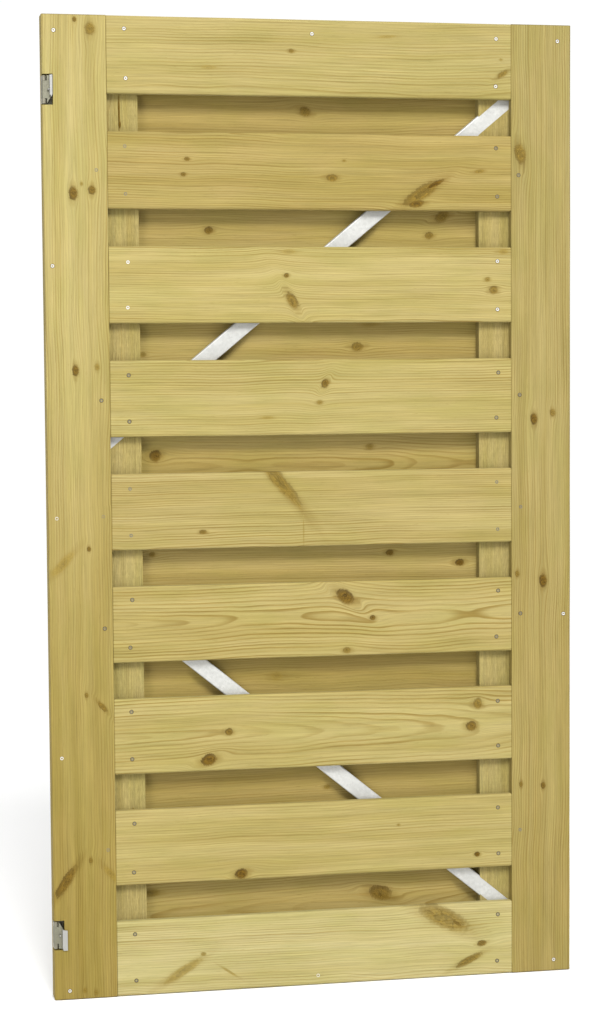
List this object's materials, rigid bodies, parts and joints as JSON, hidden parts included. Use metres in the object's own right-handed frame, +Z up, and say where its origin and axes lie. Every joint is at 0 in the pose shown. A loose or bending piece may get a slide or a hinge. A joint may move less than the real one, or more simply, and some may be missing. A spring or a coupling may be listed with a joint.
{
  "type": "garden gate",
  "caption": "Tall garden gate of overlapping horizontal pine boards on a braced steel frame, with cover boards at the sides and folding hinges let into the left edge.",
  "frame": {"origin": "centre of the gate's bottom, at the middle of its width and depth", "axes": "+Z up, +X along the gate from the hinge side to the lock side, +Y from the front face with the cover boards to the back"},
  "size_m": [0.992, 0.0594, 1.8],
  "materials": {
    "pine_cover": "planed, pressure treated",
    "pine_board": "planed, pressure treated",
    "pine_rear": "planed, pressure treated",
    "pine_sawn": "sawn, pressure treated",
    "galvanised_steel": "hot-dip galvanised",
    "zinc_hardware": "bright zinc plated"
  },
  "bodies": {
    "post_hinges": {"upper_post_leaf": "zinc_hardware", "upper_leaf_bolt": "zinc_hardware", "lower_post_leaf": "zinc_hardware", "lower_leaf_bolt": "zinc_hardware"},
    "gate_leaf": {"left_cover_board": "pine_cover", "right_cover_board": "pine_cover", "front_board_1": "pine_board", "front_board_2": "pine_board", "front_board_3": "pine_board", "front_board_4": "pine_board", "front_board_5": "pine_board", "front_board_6": "pine_board", "front_board_7": "pine_board", "front_board_8": "pine_board", "front_board_9": "pine_board", "rear_board_1": "pine_rear", "rear_board_2": "pine_rear", "rear_board_3": "pine_rear", "rear_board_4": "pine_rear", "rear_board_5": "pine_rear", "rear_board_6": "pine_rear", "rear_board_7": "pine_rear", "rear_board_8": "pine_rear", "hinge_side_lath": "pine_sawn", "lock_side_lath": "pine_sawn", "hinge_side_batten": "pine_sawn", "lock_side_batten": "pine_sawn", "frame_hinge_upright": "galvanised_steel", "frame_lock_upright": "galvanised_steel", "frame_top_rail": "galvanised_steel", "frame_bottom_rail": "galvanised_steel", "upper_brace": "galvanised_steel", "lower_brace": "galvanised_steel", "upper_hinge_bracket": "galvanised_steel", "lower_hinge_bracket": "galvanised_steel", "upper_hinge_pin": "zinc_hardware", "lower_hinge_pin": "zinc_hardware", "left_outer_screw_1": "zinc_hardware", "left_outer_screw_2": "zinc_hardware", "left_outer_screw_3": "zinc_hardware", "left_outer_screw_4": "zinc_hardware", "left_outer_screw_5": "zinc_hardware", "left_inner_screw_1": "zinc_hardware", "left_inner_screw_2": "zinc_hardware", "left_inner_screw_3": "zinc_hardware", "left_inner_screw_4": "zinc_hardware", "left_inner_screw_5": "zinc_hardware", "right_outer_screw_1": "zinc_hardware", "right_outer_screw_2": "zinc_hardware", "right_outer_screw_3": "zinc_hardware", "right_inner_screw_1": "zinc_hardware", "right_inner_screw_2": "zinc_hardware", "right_inner_screw_3": "zinc_hardware", "right_inner_screw_4": "zinc_hardware", "right_inner_screw_5": "zinc_hardware", "top_rail_screw": "zinc_hardware", "bottom_rail_screw": "zinc_hardware"}
  },
  "joints": [
    {"name": "gate_swing", "type": "hinge", "parent": "post_hinges", "child": "gate_leaf", "pos_m": [-0.492, -0.0199, 0.9], "axis": [0, 0, 1], "range_deg": [0, 180]}
  ]
}
